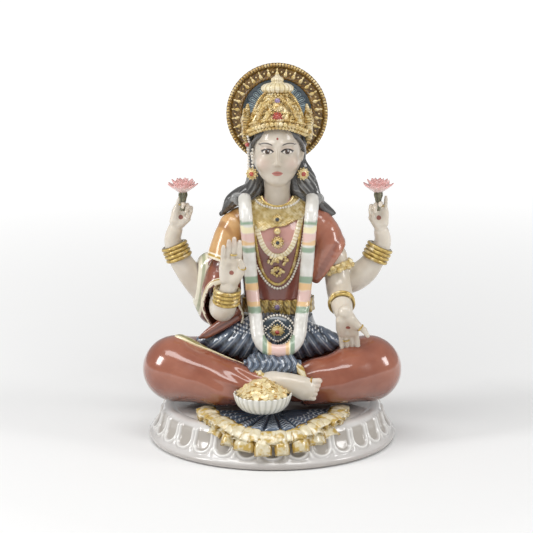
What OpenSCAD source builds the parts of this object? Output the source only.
// Seated four-armed Hindu deity, a glazed porcelain statuette on a round fluted plinth.
// Millimetres. +Z is up, the figure looks along -Y, and the origin is the middle of the plinth's foot.
// "Right" and "left" are the figure's own right and left, so its right side lies towards -X.

/* [Plinth] */
// Diameter over the plinth's foot
base_d = 200; // [190:1:215]
// Height of the plinth's flat top
base_h = 28; // [24:1:29]
// Wall of the hollow casting
base_wall = 6; // [4:0.5:8]
// Number of lotus petals moulded round the plinth
petal_count = 30; // [20:1:36]

/* [Figure] */
// Sideways place of the figure's middle on the plinth
figure_x = 4; // [0:0.5:6]
// Diameter of a necklace pearl
pearl_d = 2.4; // [1.8:0.1:2.8]
// Diameter of the flower garland
garland_d = 10; // [8:0.5:11]

/* [Halo] */
// Outer diameter of the halo
halo_d = 82; // [76:1:86]
// Width of the gilded ring round the blue field
halo_ring_w = 11; // [9:0.5:12]
// Number of lotus buds on the ring
bud_count = 32; // [20:1:36]
// Number of beads round the rim
rim_bead_count = 110; // [80:1:116]

/* [Flowers and bowl] */
// Number of petals in a lotus
lotus_petals = 12; // [8:1:14]
// Diameter of the offering bowl's rim
bowl_d = 45; // [40:1:46]
// Number of flutes round the bowl
bowl_flutes = 28; // [20:1:32]

/* [Hidden] */

$fn = 48;
FN_LIMB = 14;   // facets round a limb
FN_HAND = 8;    // facets round a finger
UP = [0, 0, 1];

base_r = base_d / 2;
top_r = base_r * 0.86;          // edge of the flat top
halo_r = halo_d / 2;
halo_field_r = halo_r - 1.5 - halo_ring_w;
halo_at = [0, 33, 258];
bowl_at = [-7.5, -68, 39];
fan_at = [0, -36];              // point from which the train's pleats spread

// ---- curves ----
function unit(v) = v / norm(v);
function place(r) = [r[0], r[1], r[2]];
// Catmull-Rom curve through the rows of p, at t from 0 to len(p) - 1
function curve(p, t) =
    let (n = len(p) - 1, i = min(floor(t), n - 1), u = t - i,
         a = p[max(i - 1, 0)], b = p[i], c = p[i + 1], d = p[min(i + 2, n)])
    0.5 * (2 * b + (c - a) * u + (2 * a - 5 * b + 4 * c - d) * u * u + (3 * b - a - 3 * c + d) * u * u * u);
function samples(p, steps) = [for (k = [0:steps]) curve(p, k * (len(p) - 1) / steps)];
function heading(r, k) = unit(place(r[min(k + 1, len(r) - 1)]) - place(r[max(k - 1, 0)]));
// [distance along the curve, t] at n + 1 places, for finding the t of a given distance
function milestones(p, n = 90) = let (r = samples(p, n))
    [for (i = 0, d = 0; i <= n; d = d + (i < n ? norm(place(r[i + 1]) - place(r[i])) : 0), i = i + 1)
        [d, i * (len(p) - 1) / n]];
function flip(p) = [for (r = p) [for (i = [0:len(r) - 1]) i == 0 ? -r[i] : r[i]]];

// ---- solids along curves ----
// A round limb: spheres hulled in pairs along rows of [x, y, z, radius]
module limb(rows, steps = 6, fn = FN_LIMB) {
    r = samples(rows, steps);
    for (k = [0:steps - 1]) hull() {
        translate(place(r[k])) sphere(r[k][3], $fn = fn);
        translate(place(r[k + 1])) sphere(r[k + 1][3], $fn = fn);
    }
}

// An oval body: rings of half widths a and b, square to the curve, along rows of [x, y, z, a, b]
module loft(rows, up = UP, steps = 12, sides = 16, dome = 0.8, cap = [80, 55, 28]) {
    r = samples(rows, steps);
    last = len(r) - 1;
    ring_of = function (row, dir, grow, shift) let (s = unit(cross(dir, up)), v = cross(s, dir))
        [for (j = [0:sides - 1]) place(row) + dir * shift
            + grow * (row[3] * cos(360 * j / sides) * s + row[4] * sin(360 * j / sides) * v)];
    rings = concat(
        [for (c = cap) ring_of(r[0], heading(r, 0), cos(c), -dome * min(r[0][3], r[0][4]) * sin(c))],
        [for (k = [0:last]) ring_of(r[k], heading(r, k), 1, 0)],
        [for (i = [len(cap) - 1:-1:0]) ring_of(r[last], heading(r, last), cos(cap[i]),
            dome * min(r[last][3], r[last][4]) * sin(cap[i]))]);
    n = len(rings);
    polyhedron(
        points = [for (g = rings) each g],
        faces = concat(
            [[for (j = [0:sides - 1]) sides - 1 - j]],
            [for (k = [0:n - 2]) for (j = [0:sides - 1]) let (m = (j + 1) % sides)
                [k * sides + j, k * sides + m, (k + 1) * sides + m, (k + 1) * sides + j]],
            [[for (j = [0:sides - 1]) (n - 1) * sides + j]]));
}

// A sheet with a flat underside at z = low, its top a grid of points: rows turn anticlockwise, columns run outwards
module slab(top, low) {
    m = len(top);
    n = len(top[0]);
    t = function (i, j) i * n + j;
    b = function (i, j) m * n + i * n + j;
    polyhedron(
        points = concat([for (row = top) each row], [for (row = top) for (p = row) [p[0], p[1], low]]),
        faces = concat(
            [for (i = [0:m - 2]) for (j = [0:n - 2]) each [
                [t(i, j), t(i + 1, j), t(i + 1, j + 1)], [t(i, j), t(i + 1, j + 1), t(i, j + 1)],
                [b(i, j), b(i, j + 1), b(i + 1, j + 1)], [b(i, j), b(i + 1, j + 1), b(i + 1, j)]]],
            [for (i = [0:m - 2]) each [
                [t(i + 1, 0), t(i, 0), b(i, 0), b(i + 1, 0)],
                [t(i, n - 1), t(i + 1, n - 1), b(i + 1, n - 1), b(i, n - 1)]]],
            [for (j = [0:n - 2]) each [
                [t(0, j), t(0, j + 1), b(0, j + 1), b(0, j)],
                [t(m - 1, j + 1), t(m - 1, j), b(m - 1, j), b(m - 1, j + 1)]]]));
}

// Turns +Z to point along dir
module aim(dir) {
    d = unit(dir);
    rotate([0, acos(d[2]), atan2(d[1], d[0])]) children();
}

// As many round beads as the curve holds with a small gap between them
module beads(rows, d, gap = 0.12) {
    marks = milestones(rows);
    run = marks[len(marks) - 1][0];
    count = floor(run / (d + gap));
    for (k = [0:count - 1]) translate(curve(rows, lookup((k + 0.5) * run / count, marks))) sphere(d = d, $fn = 20);
}

// A plain gem or boss: a low dome on a short round seat
module stud(at, dir, d, h) {
    translate(at) aim(dir) {
        cylinder(d = d, h = h * 0.5);
        translate([0, 0, h * 0.5]) cylinder(d1 = d, d2 = d * 0.5, h = h * 0.5);
    }
}

// A bangle of several hoops round a limb at a point
module bangle(at, dir, r_in, r_out, w, hoops = 3) {
    translate(at) aim(dir) rotate_extrude() difference() {
        union() {
            translate([r_in, -w / 2]) square([(r_out - r_in) * 0.6, w]);
            for (k = [0:hoops - 1])
                translate([r_out - w / hoops * 0.35, -w / 2 + (k + 0.5) * w / hoops]) circle(w / hoops * 0.46);
        }
        translate([-50 + r_in, -w]) square([50, w * 2]);
    }
}

// ---- plinth ----
module plinth_profile() {
    polygon([
        [base_r - 14, 0], [base_r - 4, 0], [base_r - 0.6, 2.2], [base_r, 4], [base_r - 0.5, 5.5], [base_r - 2.6, 6.8],
        [base_r * 0.955, base_h * 0.45], [base_r * 0.905, base_h * 0.78], [base_r * 0.9, base_h * 0.84],
        [top_r + 1, base_h - 2.5], [top_r - 1, base_h - 0.7], [top_r - 4, base_h], [0, base_h],
        [0, base_h - base_wall], [top_r - base_wall - 3, base_h - base_wall], [base_r - 14, 4]
    ]);
}

module base_plinth() color("gainsboro") union() {
    rotate_extrude($fn = 120) plinth_profile();
    for (k = [0:petal_count - 1])
        rotate([0, 0, 360 * (k + 0.5) / petal_count])
            translate([base_r * 0.943, 0, base_h * 0.515])
                rotate([0, -24, 0]) rotate([90, 0, 90])
                    translate([0, 0, -2]) linear_extrude(3.2) petal_outline(PI * base_r * 0.9 / petal_count, base_h * 0.56);
}

// A U, open at the top, that stands proud of the plinth's side
module petal_outline(half_w, tall) difference() {
    union() {
        translate([0, half_w - tall / 2]) circle(half_w, $fn = 32);
        translate([-half_w, half_w - tall / 2]) square([half_w * 2, tall - half_w]);
    }
    translate([0, half_w - tall / 2]) circle(half_w - 1.8, $fn = 32);
    translate([1.8 - half_w, half_w - tall / 2]) square([half_w * 2 - 3.6, tall]);
}

// ---- train spread over the front of the plinth ----
function pleat_angle(k, count) = 192 + 156 * k / (count - 1);
pleats = 13;

// A point of the pleated sheet: wave is 1 on a pleat's ridge and 0 in its valley
function train_point(turn, out, wave) = let (a = pleat_angle(turn, pleats), reach = out * (54 - 6 * abs(cos(a))))
    [fan_at[0] + reach * cos(a), fan_at[1] + reach * sin(a), base_h + 3 + 3.5 * wave * out];

module train_cloth() color("slategray") {
    turns = [-0.5:0.25:pleats - 0.5];
    outs = [0.05, 0.35, 0.7, 1];
    top = [for (t = turns) [for (o = outs) train_point(t, o, abs(cos(180 * t)))]];
    slab(top, base_h);
}

module train_tabs() color("wheat") {
    for (k = [0:pleats - 1]) {
        a = pleat_angle(k, pleats);
        reach = 55 - 3 * abs(cos(a));
        out = [fan_at[0] + reach * cos(a), fan_at[1] + reach * sin(a)];
        drop = max(0, norm(out) - top_r + 4);
        translate([out[0], out[1], base_h + 2.2 - drop * 0.8])
            rotate([0, 0, a]) rotate([0, 12 + drop * 3.4, 0]) cube([13, 9.5, 3.6], center = true);
    }
}

// ---- crossed legs ----
knee_r = 25.5;
knee_x = 77;
right_thigh_rows = [[-24, 24, 50, 21], [-54, 8, 55, 24], [-knee_x, -12, 58.5, knee_r]];
right_shin_rows = [[-knee_x, -14, 58.5, knee_r], [-54, -31, 56, 21], [-30, -42, 53, 17], [-8, -50, 56, 10.5]];
left_thigh_rows = [[24, 24, 50, 21], [54, 8, 55, 24], [knee_x, -12, 58.5, knee_r]];
left_shin_rows = [[knee_x, -14, 58.5, knee_r], [54, -31, 56, 21], [32, -36, 53, 17.5], [14, -34, 49, 12]];

module right_leg() color("rosybrown") {
    limb(right_thigh_rows, 3, 18);
    limb(right_shin_rows, 5, 18);
}

module left_leg() color("rosybrown") difference() {
    union() {
        limb(left_thigh_rows, 3, 18);
        limb(left_shin_rows, 5, 18);
    }
    right_leg();
}

module right_leg_border() color("goldenrod")
    loft([[-68, -18, 83, 3, 1.6], [-50, -25, 77.5, 3.4, 1.8], [-28, -33, 71, 3.4, 1.8], [-8, -41, 66, 3, 1.6]],
         steps = 8, sides = 8);

// ---- cloth on the lap ----
module lap_cloth() color("slategray") difference() {
    union() {
        limb([[-56, -6, 82, 5], [-36, -8, 84, 12], [-16, -8, 88, 20], [0, -6, 90, 24]], 5, 14);
        limb([[0, -6, 90, 24], [16, -8, 88, 20], [36, -8, 84, 12], [52, -6, 82, 5]], 5, 14);
    }
    right_leg();
    left_leg();
    torso();
}

module lap_sash() color("slategray") {
    for (k = [0:4]) hull() {
        translate([-13 + 5 * k, -45, 74]) sphere(4.2, $fn = 12);
        translate([-10 + 4.4 * k, -50, 67 + 1.5 * (k % 2)]) sphere(3.6, $fn = 12);
    }
    hull() for (x = [-14, 14]) translate([x, -46, 71]) sphere(3.6, $fn = 12);
}

// ---- the bare right foot ----
foot_rows = [[-2, -54, 59, 7.5], [8, -58, 58.5, 8.5], [18, -60, 57.5, 8.2], [27, -60.5, 56, 7]];

module right_foot() color("antiquewhite") {
    limb(foot_rows, 4, 14);
    for (k = [0:4]) hull() {
        translate([24, -61, 60 - 2.8 * k]) sphere(2.9, $fn = 10);
        translate([36 - 0.8 * k, -61.5, 60.9 - 3.4 * k]) sphere(2.3 - 0.12 * k, $fn = 10);
    }
}

module toe_ring() color("goldenrod")
    translate([30.5, -61.3, 60.7]) rotate([0, 90, -3]) rotate_extrude() translate([2.9, 0]) circle(0.55, $fn = 16);

// ---- offering bowl ----
bowl_r = bowl_d / 2;

module offering_bowl() color("ivory") translate(bowl_at) union() {
    rotate_extrude($fn = 96) polygon([
        [0, 0], [bowl_r * 0.5, 0], [bowl_r * 0.72, 2.2], [bowl_r * 0.9, 6.5], [bowl_r - 0.6, 12], [bowl_r, 14],
        [bowl_r - 1.6, 14.2], [bowl_r - 2.4, 12], [bowl_r * 0.8, 7.5], [bowl_r * 0.6, 4.6], [0, 3]
    ]);
    for (k = [0:bowl_flutes - 1])
        rotate([0, 0, 360 * k / bowl_flutes]) translate([bowl_r * 0.87, 0, 5.6]) rotate([0, 26, 0])
            cylinder(r = 1.15, h = 11, center = true, $fn = 16);
}

// Coins lie in rings that climb to the top of the heap
module coin_heap() color("khaki") translate(bowl_at) {
    rotate_extrude($fn = 64) polygon([[0, 4.8], [bowl_r * 0.6, 6.4], [bowl_r * 0.82, 11], [bowl_r * 0.84, 13.5],
        [bowl_r * 0.6, 19.5], [bowl_r * 0.35, 23.2], [0, 25.5]]);
    for (ring = [0:3]) {
        n = 15 - 3 * ring;
        away = bowl_r * (0.76 - 0.18 * ring);
        for (k = [0:n - 1])
            rotate([0, 0, 360 * (k + 0.5 * (ring % 2)) / n]) translate([away, 0, 16 + 2.9 * ring])
                rotate([0, 38 - 6 * ring, 0]) cylinder(r = 2.6, h = 1.3, center = true, $fn = 20);
    }
}

// ---- hips and torso ----
// The skirt over the hips sits on the plinth between the thighs
module seat_cloth() color("slategray") difference() {
    translate([figure_x, 0, 0]) loft([[0, 30, 36, 38, 27], [0, 30, 50, 44, 31], [0, 25, 70, 41, 28], [0, 17, 88, 33, 23], [0, 13, 99, 29, 20]],
        up = [0, 1, 0], steps = 10, sides = 20, dome = 0.28);
    right_leg();
    left_leg();
    lap_cloth();
    torso();
}

torso_rows = [
    [0, 12, 101, 27.5, 18.5], [0, 11.5, 112, 27, 18],
    [0, 11, 126, 28, 18.5], [0, 10, 148, 31, 19.5], [0, 10, 166, 33, 19], [0, 10, 181, 29, 14], [0, 9, 192, 14, 10]
];

module torso() color("sienna") translate([figure_x, 0, 0]) torso_core();

module belt() color("goldenrod") translate([figure_x, 12, 107]) difference() {
    scale([1, 0.69, 1]) cylinder(r = 30, h = 12, center = true, $fn = 64);
    scale([1, 0.67, 1]) cylinder(r = 27.2, h = 14, center = true, $fn = 64);
}

module belt_gem() color("mediumpurple") stud([figure_x, -8.4, 108], [0, -1, 0.1], 5, 2.4);

module apron_panel() color("darkslategray")
    translate([figure_x, -24, 92]) rotate([106, 0, 0]) scale([1, 0.86, 1]) cylinder(r = 16, h = 5, $fn = 48);

module apron_pearls() color("white")
    for (k = [0:22]) translate([figure_x, -30.2, 91]) rotate([106, 0, 0]) {
        a = 360 * k / 23;
        translate([13.6 * cos(a), 11.5 * sin(a), 0]) sphere(d = 2.2, $fn = 20);
    }

module apron_medallion() color("khaki") {
    stud([figure_x, -29, 92.4], [0, -1, -0.27], 11, 3);
    stud([figure_x, -31.8, 91.7], [0, -1, -0.27], 3.6, 1.8);
}

// ---- sleeves and shawl ----
module right_shoulder_sleeve() color("burlywood") translate([figure_x, 0, 0]) difference() {
    limb([[-27, 10, 178, 9], [-34, 8, 170, 12.5], [-38.5, 5, 157, 14], [-41, 3, 146, 14.5]], 6, 16);
    torso_core();
}

// The torso's own shape in the figure's frame, to cut its neighbours back to its surface
module torso_core() loft(torso_rows, up = [0, 1, 0], steps = 16, sides = 20, dome = 0.3);

module right_front_sleeve() color("sienna") translate([figure_x, 0, 0]) difference() {
    limb([[-42, 2, 136, 13.5], [-44, -1, 126, 15], [-45, -6, 112, 16], [-41, -12, 101, 14]], 6, 16);
    limb([[-38.5, 5, 157, 14], [-41, 3, 146, 14.5]], 2, 16);
    torso_core();
    translate([-figure_x, 0, 0]) { lap_cloth(); right_leg(); }
}

module right_rear_sleeve() color("sienna") translate([figure_x, 0, 0]) difference() {
    limb([[-44, 14, 138, 12], [-49, 17, 130, 14], [-51, 19, 114, 14.5], [-52, 18, 98, 11]], 6, 16);
    limb([[-42, 2, 136, 13.5], [-44, -1, 126, 15], [-45, -6, 112, 16], [-41, -12, 101, 14]], 6, 16);
    limb([[-34, 8, 170, 12.5], [-38.5, 5, 157, 14], [-41, 3, 146, 14.5]], 4, 16);
    torso_core();
    translate([-figure_x, 0, 0]) { lap_cloth(); right_leg(); }
}

module left_shawl() color("indianred") translate([figure_x, 0, 0]) difference() {
    limb([[26, 10, 179, 9], [34, 8, 171, 12.5], [39.5, 6, 157, 14.5], [37.5, 4, 143, 12.5], [31, 0, 132, 6]], 6, 16);
    torso_core();
}

// ---- arms ----
right_front_arm_rows = [[-44, -8, 113, 10], [-43.5, -18, 109, 10.5], [-41, -27, 113, 9], [-39.5, -30, 122, 7.6]];
right_rear_arm_rows = [[-60, 17, 116, 10.5], [-70, 16, 129, 10], [-80, 15, 145, 8.6], [-84, 14, 158, 7], [-82, 12, 167, 6.2]];
left_front_arm_rows = [[46.5, 6, 146, 10], [48, 4, 132, 10], [50, -4, 119, 10.2], [51, -20, 113, 8.8], [52, -30, 109, 7.4]];
left_rear_arm_rows = [[48, 17, 136, 11], [57, 18, 125, 11.5], [70, 17, 131, 10.5], [79, 15, 143, 8.6], [85, 14, 156, 7], [84, 12, 165, 6.2]];

module right_front_arm() color("antiquewhite") translate([figure_x, 0, 0]) limb(right_front_arm_rows);
module right_rear_arm() color("antiquewhite") translate([figure_x, 0, 0]) limb(right_rear_arm_rows);
module left_front_arm() color("antiquewhite") translate([figure_x, 0, 0]) limb(left_front_arm_rows);
module left_rear_arm() color("antiquewhite") translate([figure_x, 0, 0]) difference() {
    limb(left_rear_arm_rows);
    limb(left_front_arm_rows);
}

module right_front_bangle() color("goldenrod") bangle([figure_x - 39.8, -29.4, 121.5], [0.1, -0.2, 1], 8.6, 10.8, 13, 4);
module right_rear_bangle() color("goldenrod") bangle([figure_x - 81, 14.7, 148.5], [-0.4, 0, 1], 9, 10.8, 13, 4);
module left_front_bangle() color("goldenrod") bangle([figure_x + 51, -19, 113.4], [0.05, -1, -0.4], 9.6, 11.4, 4.4, 1);
module left_armlet() color("goldenrod") bangle([figure_x + 48.3, 4.6, 137], [-0.15, 0.12, 1], 10.4, 12.6, 8, 2);
module left_rear_bangle() color("goldenrod") bangle([figure_x + 81, 14.8, 147.5], [0.45, 0, 1], 9, 10.8, 13, 4);

// ---- hands ----
// A right hand with its wrist at the origin, fingers up along +Z, palm facing -Y and thumb towards +X.
// bend is the angle of each finger's two joints, towards the palm, and spread fans the fingers.
module finger(from, tall, r, bend, lean) {
    a = place([tall * 0.55 * sin(lean), -tall * 0.55 * sin(bend), tall * 0.55 * cos(bend)]);
    b = a + place([tall * 0.45 * sin(lean), -tall * 0.45 * sin(bend * 2), tall * 0.45 * cos(bend * 2)]);
    hull() { translate(from) sphere(r, $fn = FN_HAND); translate(from + a) sphere(r * 0.95, $fn = FN_HAND); }
    hull() { translate(from + a) sphere(r * 0.95, $fn = FN_HAND); translate(from + b) sphere(r * 0.78, $fn = FN_HAND); }
}

module hand(bend = 4, spread = 2, thumb_out = 25) {
    lengths = [15, 18, 17, 13.5];
    for (k = [0:3])
        finger([6.6 - 4.5 * k, 0, 21 - 0.9 * abs(k - 1)], lengths[k], 2.35 - 0.1 * k, bend + k, (1.5 - k) * spread);
    hull() {
        translate([0.5, 0, 0]) scale([1.25, 0.85, 1]) sphere(6, $fn = 14);
        for (x = [-6.6, 6.2]) translate([x, 0, 19]) sphere(3, $fn = 12);
        translate([-6.5, 0, 8]) sphere(3.4, $fn = 12);
    }
    hull() {
        translate([4, -1.4, 5]) sphere(4, $fn = 12);
        translate([8, -2.4, 11]) sphere(3, $fn = 12);
    }
    hull() {
        translate([8, -2.4, 11]) sphere(3, $fn = 12);
        translate([8 + 9 * sin(thumb_out), -3, 11 + 9 * cos(thumb_out)]) sphere(2.1, $fn = 12);
    }
}

module right_front_hand() color("antiquewhite") translate([figure_x - 37, -31.5, 132]) rotate([8, 2, 2]) hand();
module left_front_hand() color("antiquewhite")
    translate([figure_x + 53.5, -36, 108]) rotate([-158, 0, 0]) rotate([0, -8, 180]) mirror([1, 0, 0]) scale(0.92) hand(10, 1, 35);
module right_rear_hand() color("antiquewhite")
    translate([figure_x - 81, 10.5, 170.5]) rotate([4, 20, 10]) scale(0.76) hand(38, 4, 20);
module left_rear_hand() color("antiquewhite")
    translate([figure_x + 83, 10.5, 169.5]) rotate([4, -4, -10]) mirror([1, 0, 0]) scale(0.76) hand(38, 4, 20);

module finger_rings() color("goldenrod") {
    translate([figure_x - 40.5, -35.2, 157]) rotate([8, 0, 0]) rotate_extrude() translate([2.6, 0]) circle(0.6, $fn = 16);
    translate([figure_x - 27.3, -36.4, 146]) rotate([8, 25, 0]) rotate_extrude() translate([3.1, 0]) circle(0.6, $fn = 16);
    translate([figure_x + 62.6, -41, 92.6]) rotate([20, -40, 0]) rotate_extrude() translate([2.5, 0]) circle(0.55, $fn = 16);
}

// ---- lotus flowers ----
module lotus(at) translate(at) {
    for (row = [0:1]) for (k = [0:lotus_petals / 2 - 1])
        rotate([0, 0, 360 * (k + 0.5 * row) / (lotus_petals / 2)])
            loft([[1.2, 0, 0, 0.9, 0.5], [5, 0, 1.2 + 3 * row, 2.6, 0.5], [9 - 1.5 * row, 0, 2.6 + 5 * row, 2.4, 0.5],
                  [12.5 - 4 * row, 0, 4 + 7 * row, 0.5, 0.4]], steps = 3, sides = 6, dome = 0.3, cap = [50]);
    cylinder(r1 = 1.2, r2 = 2.6, h = 3.4);
}

module calyx(at, drop, lean) color("darkkhaki") translate(at) rotate(lean) {
    translate([0, 0, -2.6]) cylinder(r1 = 3.4, r2 = 2.2, h = 2.4);
    translate([0, 0, -drop]) cylinder(r1 = 2, r2 = 3.4, h = drop - 2.6);
}

right_lotus_at = [figure_x - 75.3, 6, 199.5];
left_lotus_at = [figure_x + 80.5, 6, 199.5];

module right_lotus() color("lightpink") lotus(right_lotus_at);
module left_lotus() color("lightpink") lotus(left_lotus_at);
module right_lotus_calyx() calyx(right_lotus_at, 16, [0, 0, 0]);
module left_lotus_calyx() calyx(left_lotus_at, 16, [0, 0, 0]);

// ---- garland and necklaces ----
garland_side = [[24, 26, 178], [26.5, 15, 193], [27, 0, 194], [25.5, -13, 180], [23.5, -16, 156], [22, -16, 136], [20, -20, 116],
                [17.5, -29, 100], [11, -39, 87], [0, -43, 82]];

module garland() color("whitesmoke") translate([figure_x + 1, 0, 0])
    loft([for (p = concat(flip(garland_side), [for (i = [len(garland_side) - 2:-1:0]) garland_side[i]]))
        [p[0], p[1], p[2], garland_d / 2, garland_d / 2]], up = [0, 1, 0.02], steps = 36, sides = 10, dome = 0.6);

function chest_bow(half_w, top, low, out) =   // half of a necklace's curve, from one shoulder to its lowest point
    [[half_w, -2 - out, top], [half_w * 0.93, -7 - out, top - (top - low) * 0.4],
     [half_w * 0.62, -9.5 - out, top - (top - low) * 0.8], [0, -10 - out, low]];
function bow(half_w, top, low, out) =
    let (h = chest_bow(half_w, top, low, out)) concat(flip(h), [h[2], h[1], h[0]]);

module flat_necklace(rows, w, thick, steps)
    loft([for (p = rows) [p[0], p[1], p[2], thick, w]], up = [0, 1, 0], steps = steps, sides = 10, dome = 0.5);

module collar_necklace() color("goldenrod") translate([figure_x, 0, 0]) intersection() {
    difference() {
        loft([for (r = torso_rows) [r[0], r[1], r[2], r[3] + 0.6, r[4] + 2.2]], up = [0, 1, 0], steps = 16, sides = 20, dome = 0.3);
        torso_core();
        translate([0, 8, 190]) cylinder(r = 12.5, h = 20, center = true);
    }
    hull() {
        translate([0, -10, 189]) rotate([90, 0, 0]) cylinder(r = 20, h = 36, center = true, $fn = 32);
        translate([0, -10, 176]) rotate([90, 0, 0]) cylinder(r = 9, h = 36, center = true, $fn = 32);
    }
}

module collar_pearls() color("white") translate([figure_x, 0, 0])
    for (k = [0:20]) let (a = 180 + 180 * (k + 0.5) / 21)
        translate([14.5 * cos(a), 2 + 13.5 * sin(a), 188.5 + 1.5 * sin(a) + 3 * abs(cos(a))]) sphere(d = 1.9, $fn = 20);

module throat_pendants() color("khaki") translate([figure_x, 0, 0]) {
    stud([0, -10.4, 177], [0, -1, 0.25], 8, 3.4);
    translate([0, -12.2, 168.4]) sphere(2.9, $fn = 24);
    stud([0, -10.8, 160], [0, -1, 0.15], 10, 3.4);
}

module long_necklace() color("khaki") translate([figure_x, 0, 0]) {
    flat_necklace(bow(22, 180, 147, 1.2), 2.6, 1.2, 20);
    for (p = [[0, 143.5, 3.4], [-6.2, 145, 2.6], [6.2, 145, 2.6], [0, 135.5, 3.6], [-4.2, 138.5, 2.4], [4.2, 138.5, 2.4]])
        translate([p[0], -10.4, p[1]]) sphere(p[2], $fn = 24);
}

module pearl_strand() color("white") translate([figure_x, 0, 0])
    beads(bow(24.5, 176, 124, 1.4), pearl_d);

// ---- head ----
head_rows = [
    [0, 8, 187, 11.5, 10.5], [0, 7, 196, 11, 10.5], [0, 5.5, 203.5, 11.2, 11.5], [0, 0.5, 207.5, 11.5, 17], [0, 1.5, 213, 15.5, 21],
    [0, 3, 223, 18.6, 23.5], [0, 4, 235, 19.8, 24.5], [0, 5, 248, 18.6, 23.5], [0, 6, 257, 14, 18], [0, 6.5, 262, 6, 8]
];

module head() color("antiquewhite") translate([figure_x, 0, 0])
    loft(head_rows, up = [0, 1, 0], steps = 14, sides = 16, dome = 0.3);

module head_core() loft(head_rows, up = [0, 1, 0], steps = 14, sides = 16, dome = 0.3);

module curtain(rows) {
    for (k = [0:len(rows) - 2]) hull() for (r = [rows[k], rows[k + 1]]) for (side = [-1, 1])
        translate([side * r[0], r[1], r[2]]) sphere(r[3], $fn = 12);
}

lock_rows = [[20, 7, 246, 4], [21, 8, 232, 5.5], [19, 9, 218, 5.5], [20, 7, 208, 8], [24.5, 5, 199, 9], [33, 6, 191, 7], [41, 9, 184.5, 5.5], [46, 13, 178, 2.5]];

module hair() color("dimgray") translate([figure_x, 0, 0]) difference() {
    union() {
        curtain([[8, 14, 252, 12], [12, 19, 238, 10], [12.5, 21, 215, 10], [19, 25, 190, 10], [21, 28, 160, 8], [17, 29, 140, 6], [9, 29, 124, 4]]);
        limb(lock_rows, 7, 12);
        limb(flip(lock_rows), 7, 12);
    }
    head_core();
    torso_core();
}

// ---- crown ----
crown_at = [figure_x, 4, 254];

module crown_cap() color("khaki") translate(crown_at) {
    rotate([-6, 0, 0]) rotate_extrude($fn = 64) polygon([
        [21, -3], [23.6, -3], [24, -0.5], [22.8, 2.5], [20.6, 5.5], [19, 10], [16, 15.5], [12.5, 20], [11, 23], [0, 23], [0, 21],
        [9, 21], [14, 14.5], [17, 9], [18, 5]
    ]);
}

module crown_knob() color("wheat") translate(crown_at) rotate([-6, 0, 0]) rotate_extrude($fn = 48) polygon([
    [0, 23], [8, 23], [11.5, 24.4], [12.6, 26.6], [12, 29], [8.5, 31], [4.6, 31.8], [4.4, 33.2], [3.4, 34.6], [0, 37]
]);

module crown_side_ornaments() color("khaki") translate(crown_at) for (side = [-1, 1])
    translate([side * 24.8, 0, -1]) rotate([0, side * -4, 0]) hull() {
        translate([0, 0, -12]) sphere(2.4, $fn = 16);
        translate([0, -1, 1]) scale([0.6, 1.5, 1]) sphere(5, $fn = 16);
        translate([-side * 1.5, 0, 15]) sphere(1.4, $fn = 16);
    }

module crown_gems() color("indianred") translate(crown_at) {
    stud([0, -20.4, 6], [0, -1, 0.3], 5, 2.8);
    stud([0, -12.8, 18], [0, -1, 0.6], 4, 2.4);
}

// ---- ears' ornaments ----
module right_earring() color("khaki") stud([figure_x - 19.8, -4, 215], [-0.4, -1, 0], 7, 3.4);
module left_earring() color("khaki") stud([figure_x + 20.2, -4, 215], [0.4, -1, 0], 8, 3.4);

module ear_pearl_tassel() color("white")
    for (strand = [0:1]) for (k = [0:6])
        translate([figure_x - 24.8 + 3.4 * strand, -3.4, 233 - 2.3 * k]) sphere(d = 2.1, $fn = 20);

// ---- halo ----
module stand_up() translate([figure_x, 0, 0] + halo_at) rotate([90, 0, 0]) children();

module halo_disc() color("darkslategray") stand_up() {
    cylinder(r = halo_field_r, h = 2.4, center = true, $fn = 96);
    for (k = [0:bud_count - 1])
        rotate([0, 0, 360 * k / bud_count]) translate([halo_field_r * 0.7, 0, 1.2])
            cube([halo_field_r * 0.56, 0.7, 0.6], center = true);
}

module halo_ring() color("darkgoldenrod") stand_up() rotate_extrude($fn = 128) polygon([
    [halo_field_r, -2], [halo_r - 1, -2], [halo_r, -1], [halo_r, 1], [halo_r - 1.6, 2], [halo_r - 3, 1],
    [halo_field_r + 1.6, 1], [halo_field_r + 0.8, 2], [halo_field_r, 2]
]);

module halo_buds() color("goldenrod") stand_up() for (k = [0:bud_count - 1])
    rotate([0, 0, 360 * (k + 0.5) / bud_count]) translate([halo_field_r + halo_ring_w * 0.34, 0, 1]) {
        cylinder(r = 1.5, h = 1.6, $fn = 20);
        translate([3.4, 0, 0]) cylinder(r = 1.2, h = 1.2, $fn = 20);
    }

module halo_rim_beads() color("khaki") stand_up() for (k = [0:rim_bead_count - 1])
    rotate([0, 0, 360 * k / rim_bead_count]) translate([halo_r - 1, 0, 2]) sphere(0.95, $fn = 16);

base_plinth();
train_cloth();
train_tabs();
right_leg();
left_leg();
right_leg_border();
seat_cloth();
lap_cloth();
lap_sash();
right_foot();
toe_ring();
offering_bowl();
coin_heap();
torso();
belt();
belt_gem();
apron_panel();
apron_pearls();
apron_medallion();
right_shoulder_sleeve();
right_front_sleeve();
right_rear_sleeve();
left_shawl();
right_front_arm();
right_front_hand();
right_front_bangle();
right_rear_arm();
right_rear_hand();
right_rear_bangle();
left_front_arm();
left_front_hand();
left_front_bangle();
left_armlet();
left_rear_arm();
left_rear_hand();
left_rear_bangle();
right_lotus();
right_lotus_calyx();
left_lotus();
left_lotus_calyx();
finger_rings();
garland();
collar_necklace();
collar_pearls();
throat_pendants();
long_necklace();
pearl_strand();
head();
hair();
crown_cap();
crown_knob();
crown_side_ornaments();
crown_gems();
right_earring();
left_earring();
ear_pearl_tassel();
halo_disc();
halo_ring();
halo_buds();
halo_rim_beads();
